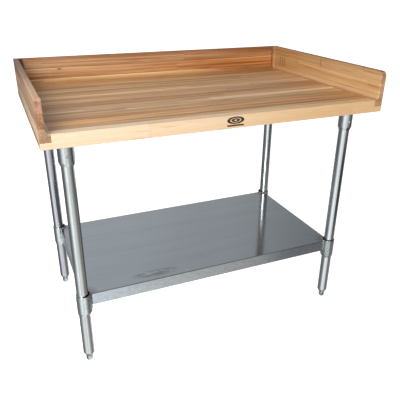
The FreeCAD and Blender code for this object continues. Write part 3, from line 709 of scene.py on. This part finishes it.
def sleeve_bead(corner, material):
    """The bead that joins a shelf sleeve to the pan: over the top, and down both flanges."""
    low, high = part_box(f"shelf_sleeve_{corner}")
    middle, radius = (low + high) / 2, (high.y - low.y) / 2
    pan_low, pan_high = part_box("shelf_pan")
    into_x = -math.copysign(1, middle.x)
    into_y = -math.copysign(1, middle.y)
    edge_x = pan_low.x if middle.x < 0 else pan_high.x
    edge_y = pan_low.y if middle.y < 0 else pan_high.y
    # The angles, seen from the sleeve's axis, at which its wall meets the pan's two flanges.
    at_side = math.sqrt(radius**2 - (edge_x - middle.x) ** 2)
    at_front = math.sqrt(radius**2 - (edge_y - middle.y) ** 2)
    start = math.atan2(into_y * at_side, edge_x - middle.x)
    end = math.atan2(edge_y - middle.y, into_x * at_front)
    turn = (end - start + math.pi) % (2 * math.pi) - math.pi
    arc = []
    for k in range(ARC_STEPS + 1):
        angle = start + turn * k / ARC_STEPS
        x, y = middle.x + radius * math.cos(angle), middle.y + radius * math.sin(angle)
        arc.append(Vector((x, y, SHELF_TOP)))
    # Down each flange in steps of a millimetre, to just above its lower edge.
    bottom = pan_low.z + 0.002
    fall = [SHELF_TOP - 0.001 * k for k in range(1, int((SHELF_TOP - bottom) * 1000))]
    bm = bmesh.new()
    rippled_bead(bm, arc, *TOP_BEAD)
    for foot in (arc[0], arc[-1]):
        rippled_bead(bm, [Vector((foot.x, foot.y, z)) for z in fall], *FLANGE_BEAD)
    piece = new_piece(f"weld_sleeve_{corner}", bm, material)
    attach(piece, "shelf")


def socket_bead(corner, material):
    """The bead round an upper socket, under its cross rail."""
    low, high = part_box(f"upper_socket_{corner}")
    middle, radius = (low + high) / 2, (high.x - low.x) / 2
    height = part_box("cross_rail_left")[0].z
    ring = []
    for k in range(RING_STEPS + 1):
        turn = 2 * math.pi * k / RING_STEPS
        x, y = middle.x + radius * math.cos(turn), middle.y + radius * math.sin(turn)
        ring.append(Vector((x, y, height)))
    bm = bmesh.new()
    rippled_bead(bm, ring, *SOCKET_BEAD)
    piece = new_piece(f"weld_socket_{corner}", bm, material)
    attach(piece, "table")


THREAD_PITCH = 0.0254 / 11
THREAD_DEPTH = 0.0012
THREAD_STEPS = 28
THREAD_MARGIN = 0.002
CORE_GAP = 0.00005
CORE_CHAMFERS = (0.001, 0.0008)


def foot_thread(corner, material):
    """The foot's threaded stud, in place of its plain rod."""
    node = f"foot_stud_{corner}"
    low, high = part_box(node)
    middle, radius = (low + high) / 2, (high.x - low.x) / 2
    bm = bmesh.new()
    turns = int((high.z - low.z - 2 * THREAD_MARGIN) / THREAD_PITCH)
    profile = ((0.0, THREAD_DEPTH), (0.42, 0.0), (0.58, 0.0), (1.0, THREAD_DEPTH))
    columns = []
    for k in range(THREAD_STEPS * turns + 1):
        turn = 2 * math.pi * k / THREAD_STEPS
        column = []
        for share, cut in profile:
            z = low.z + THREAD_MARGIN + (turn / (2 * math.pi) + share - 0.5) * THREAD_PITCH
            r = radius - cut
            x, y = middle.x + r * math.cos(turn), middle.y + r * math.sin(turn)
            column.append(bm.verts.new((x, y, min(max(z, low.z), high.z))))
        columns.append(column)
    for first, second in zip(columns, columns[1:]):
        for a in range(len(profile) - 1):
            bm.faces.new((first[a], second[a], second[a + 1], first[a + 1]))
    # A smooth core closes the stud inside the thread's root.
    core = radius - THREAD_DEPTH - CORE_GAP
    along, across = CORE_CHAMFERS
    heights = (low.z, low.z + along, high.z - along, high.z)
    line = [Vector((middle.x, middle.y, z)) for z in heights]
    tube_along(bm, line, [core - across, core, core, core - across], THREAD_STEPS)
    piece = new_piece(f"foot_thread_{corner}", bm, material)
    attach(piece, f"stud_{corner}")
    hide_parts(node)


# --- Studio --------------------------------------------------------------------------------------
def pale_surface():
    """The floor's pale paint, which glows a little so that it stays white under the table."""
    s = Shader("pale_floor")
    s.set(Base_Color=colour(236, 236, 236), Roughness=0.95, Specular_IOR_Level=0.0)
    s.set(Emission_Color=WHITE, Emission_Strength=0.86)
    return s.material


FLOOR_RADIUS = 9.0
FLOOR_BEND = 3.0
FLOOR_SIDES = 96
BEND_STEPS = 12
WALL_TOP = 9.0
FLOOR_DROP = 0.0005


def studio_floor():
    """A pale floor with a round wall far behind it, joined by a wide curve."""
    outline = []
    for k in range(BEND_STEPS + 1):
        a = math.pi / 2 * k / BEND_STEPS
        outline.append((FLOOR_RADIUS + FLOOR_BEND * math.sin(a), FLOOR_BEND * (1 - math.cos(a))))
    outline.append((FLOOR_RADIUS + FLOOR_BEND, WALL_TOP))
    bm = bmesh.new()
    turns = [2 * math.pi * k / FLOOR_SIDES for k in range(FLOOR_SIDES)]
    rings = [
        [bm.verts.new((distance * math.cos(t), distance * math.sin(t), z)) for t in turns]
        for distance, z in outline
    ]
    bm.faces.new(rings[0])
    for inner, outer in zip(rings, rings[1:]):
        for k in range(FLOOR_SIDES):
            bm.faces.new((inner[k], outer[k], outer[(k + 1) % FLOOR_SIDES], inner[(k + 1) % FLOOR_SIDES]))
    floor = new_piece("studio_floor", bm, pale_surface())
    floor.location.z = -FLOOR_DROP
    floor.visible_glossy = False
    floor.visible_diffuse = False
    floor.visible_shadow = False


def area_light(name, position, target, width, height, power, tone=(1.0, 1.0, 1.0)):
    data = bpy.data.lights.new(name, "AREA")
    data.shape = "RECTANGLE"
    data.size, data.size_y = width, height
    data.energy = power
    data.color = tone
    lamp = bpy.data.objects.new(name, data)
    lamp.location = position
    lamp.rotation_euler = (Vector(target) - Vector(position)).to_track_quat("-Z", "Y").to_euler()
    bpy.context.scene.collection.objects.link(lamp)
    return lamp


# How bright the studio is in each direction, by the angle in degrees from the front toward the left:
# steeply down, below the horizon and above it, and the sines of elevation between which one gives way
# to the next.
BELOW = (
    (-180, 0.3), (-140, 0.8), (-112, 0.8), (-90, 0.15), (-74, 0.13), (-60, 0.19), (-44, 0.3),
    (-18, 0.56), (-2, 0.98), (17, 0.92), (38, 1.32), (60, 1.15), (76, 0.45), (92, 0.2), (130, 0.12),
    (180, 0.3),
)
STEEP = (
    (-180, 0.4), (-140, 0.8), (-112, 0.8), (-88, 0.3), (-62, 0.26), (-45, 0.4), (-31, 0.58),
    (-18, 0.88), (-8, 1.32), (17, 0.9), (40, 1.15), (60, 1.0), (76, 0.5), (92, 0.28), (130, 0.2),
    (180, 0.4),
)
ABOVE = (
    (-180, 0.66), (-168, 0.64), (-155, 0.53), (-138, 0.31), (-110, 0.2), (-60, 0.2), (-20, 0.3),
    (10, 0.75), (50, 0.8), (80, 0.4), (120, 0.45), (180, 0.66),
)

JOINS = ((-0.62, -0.42), (-0.12, 0.12))

FLAG_ENDS = ((0.50, -0.86), (1.27, -0.37))
FLAG_HEIGHTS = (-1.2, 0.9)
FLAG_GLOW_HEIGHTS = (-0.1, 0.3)
FLAG_GLOW = (0.24, 0.055)
FLAG_SOLID_SHARE = 0.6
FLAG_SOLID_TOP = 0.45
COOL_LIGHT = (0.97, 0.99, 1.0)
WARM_LIGHT = (1.05, 1.02, 0.94)
WARM_SIDE = (-65, -15)


def studio_world():
    """Soft light all round, brightest low down at the front left."""
    world = bpy.data.worlds.new("studio")
    world.use_nodes = True
    bpy.context.scene.world = world
    tree = world.node_tree

    def node(kind, **settings):
        made = tree.nodes.new(kind)
        for key, value in settings.items():
            setattr(made, key, value)
        return made

    split = node("ShaderNodeSeparateXYZ")
    tree.links.new(node("ShaderNodeTexCoord").outputs["Generated"], split.inputs[0])
    flip_x, flip_y = (node("ShaderNodeMath", operation="MULTIPLY") for _ in range(2))
    for flip, axis in ((flip_x, 0), (flip_y, 1)):
        flip.inputs[1].default_value = -1.0
        tree.links.new(split.outputs[axis], flip.inputs[0])
    angle = node("ShaderNodeMath", operation="ARCTAN2")
    tree.links.new(flip_x.outputs[0], angle.inputs[0])
    tree.links.new(flip_y.outputs[0], angle.inputs[1])
    turn = node("ShaderNodeMapRange")
    turn.inputs["From Min"].default_value = -math.pi
    turn.inputs["From Max"].default_value = math.pi
    tree.links.new(angle.outputs[0], turn.inputs[0])
    ramps = []
    for stops in (STEEP, BELOW, ABOVE):
        ramp = node("ShaderNodeValToRGB")
        ramp.color_ramp.interpolation = "EASE"
        while len(ramp.color_ramp.elements) < len(stops):
            ramp.color_ramp.elements.new(0.5)
        for element, (degrees, level) in zip(ramp.color_ramp.elements, stops):
            element.position = (degrees + 180) / 360
        for element, (degrees, level) in zip(ramp.color_ramp.elements, stops):
            red, green, blue = WARM_LIGHT if WARM_SIDE[0] < degrees < WARM_SIDE[1] else COOL_LIGHT
            element.color = (level * red, level * green, level * blue, 1.0)
        tree.links.new(turn.outputs[0], ramp.inputs[0])
        ramps.append(ramp)
    light = ramps[0].outputs[0]
    for ramp, (start, end) in zip(ramps[1:], JOINS):
        height = node("ShaderNodeMapRange", interpolation_type="SMOOTHSTEP")
        height.inputs["From Min"].default_value = start
        height.inputs["From Max"].default_value = end
        tree.links.new(split.outputs[2], height.inputs[0])
        join = node("ShaderNodeMix", data_type="RGBA")
        tree.links.new(height.outputs[0], join.inputs[0])
        tree.links.new(light, join.inputs[6])
        tree.links.new(ramp.outputs[0], join.inputs[7])
        light = join.outputs[2]
    tree.links.new(light, tree.nodes["Background"].inputs["Color"])


def black_flag():
    """A dark card with soft edges to the right, out of view, that draws the dark line down each leg."""
    s = Shader("black_card")
    s.set(Base_Color=colour(20, 20, 20), Roughness=1.0, Specular_IOR_Level=0.0)
    _, _, z = s.axes(s.place)
    s.set(Emission_Color=WHITE, Emission_Strength=s.between(z, *FLAG_GLOW_HEIGHTS, *FLAG_GLOW))
    middle = [(a + b) / 2 for a, b in zip(*FLAG_ENDS)]
    reach = math.dist(*FLAG_ENDS) / 2
    away = s.distance(s.place, (*middle, 0.0))
    squares = [s.math("POWER", length, 2.0) for length in (away, z)]
    sideways = s.math("POWER", s.math("SUBTRACT", *squares), 0.5)
    side_fade = s.between(sideways, reach * FLAG_SOLID_SHARE, reach, 1.0, 0.0)
    top_fade = s.between(z, FLAG_SOLID_TOP, FLAG_HEIGHTS[1], 1.0, 0.0)
    s.set(Alpha=s.math("MULTIPLY", side_fade, top_fade))
    bm = bmesh.new()
    near, far = FLAG_ENDS
    low, high = FLAG_HEIGHTS
    corners = ((*near, low), (*far, low), (*far, high), (*near, high))
    bm.faces.new([bm.verts.new(corner) for corner in corners])
    card = new_piece("black_flag", bm, s.material, smooth=False)
    card.visible_camera = False
    card.visible_diffuse = False
    card.visible_shadow = False


def studio_light():
    """A warm key light from the front left, a weaker one from the side, and the soft surround."""
    area_light("key", (-2.0, -2.7, 1.6), (-0.1, -0.2, 0.8), 1.5, 1.5, 66.0, (1.0, 0.985, 0.96))
    area_light("side", (-1.6, -0.9, 2.4), (0.0, -0.1, 0.7), 1.2, 1.2, 20.0)
    studio_world()


# --- Camera --------------------------------------------------------------------------------------
CAMERA_PLACE = (-0.7075, -1.7429, 1.3163)
CAMERA_AZIMUTH = 23.54
CAMERA_ELEVATION = 25.36
CAMERA_ROLL = 0.57
CAMERA_LENS = 43.35
CAMERA_SHIFT = (-0.0034, 0.0135)


def camera():
    data = bpy.data.cameras.new("camera")
    data.lens = CAMERA_LENS
    data.shift_x, data.shift_y = CAMERA_SHIFT
    made = bpy.data.objects.new("camera", data)
    azimuth, elevation, roll = (math.radians(a) for a in (CAMERA_AZIMUTH, CAMERA_ELEVATION, CAMERA_ROLL))
    forward = Vector(
        (
            math.sin(azimuth) * math.cos(elevation),
            math.cos(azimuth) * math.cos(elevation),
            -math.sin(elevation),
        )
    )
    right = Vector((math.cos(azimuth), -math.sin(azimuth), 0.0))
    up = right.cross(forward)
    tilted_right = right * math.cos(roll) + up * math.sin(roll)
    tilted_up = up * math.cos(roll) - right * math.sin(roll)
    matrix = made.matrix_world
    for row in range(3):
        matrix[row][0], matrix[row][1], matrix[row][2] = tilted_right[row], tilted_up[row], -forward[row]
    made.matrix_world = matrix
    made.location = CAMERA_PLACE
    bpy.context.scene.collection.objects.link(made)
    bpy.context.scene.camera = made


# --- The scene -----------------------------------------------------------------------------------
paint_wood()
paint_steel()
weld = weld_material()
zinc = steel("zinc_thread", colour(178, 180, 182), 0.3, (90, 90, 90), 0.4, 0.00003, 0.2)
for corner in CORNERS:
    sleeve_bead(corner, weld)
    socket_bead(corner, weld)
    foot_thread(corner, zinc)
studio_floor()
black_flag()
studio_light()
camera()
bpy.context.scene.view_settings.view_transform = "Standard"
